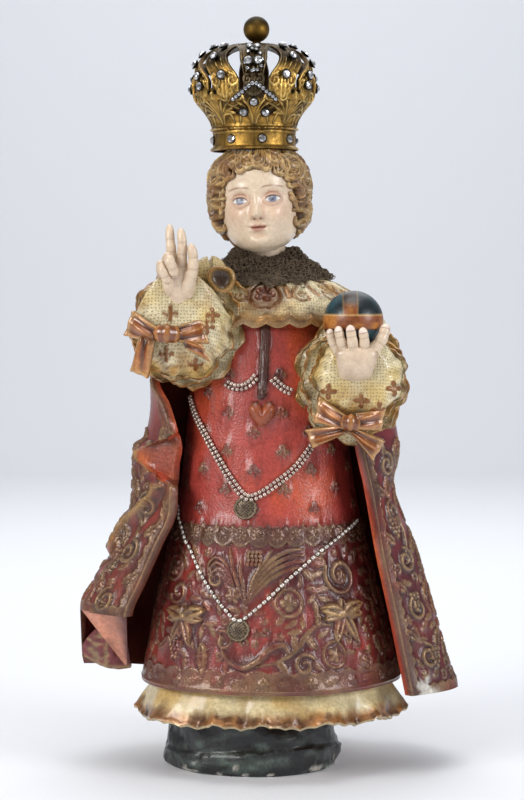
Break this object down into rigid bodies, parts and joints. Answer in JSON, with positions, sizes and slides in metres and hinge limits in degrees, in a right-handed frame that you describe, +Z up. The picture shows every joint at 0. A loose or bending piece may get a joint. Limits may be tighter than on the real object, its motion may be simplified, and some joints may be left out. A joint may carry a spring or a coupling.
{
  "type": "infant of prague statue",
  "caption": "Crowned child figure in a bell-shaped embroidered dress, cape and lace cuffs, one hand raised in blessing and the other holding an orb, on a rock base.",
  "frame": {"origin": "on the underside of the base, below the axis of the figure", "axes": "+Z up, -Y towards the front of the figure, +X to the viewer's right"},
  "size_m": [0.2713, 0.1826, 0.5371],
  "materials": {
    "painted_plaster": "glossy painted plaster with gilt relief, red dress and cape, cream lace",
    "gilt_metal": "aged gilt sheet metal, blackened on the arches",
    "orb_lacquer": "dark glossy paint with orange-brown bands",
    "metal_thread": "tarnished looped metal-thread trim",
    "bead_glass": "silvered beads and foil-backed stones",
    "cut_glass": "foil-backed cut glass"
  },
  "bodies": {
    "root": {"statue": "painted_plaster", "crown": "gilt_metal", "crown_ball": "gilt_metal", "orb": "orb_lacquer", "neck_collar": "metal_thread", "upper_necklace_left": "bead_glass", "upper_necklace_right": "bead_glass", "middle_chain": "bead_glass", "lower_chain": "bead_glass", "band_stone_1": "cut_glass", "band_stone_2": "cut_glass", "band_stone_3": "cut_glass", "band_stone_4": "cut_glass", "band_stone_5": "cut_glass", "band_stone_6": "cut_glass", "band_stone_7": "cut_glass", "band_stone_8": "cut_glass"}
  },
  "joints": []
}
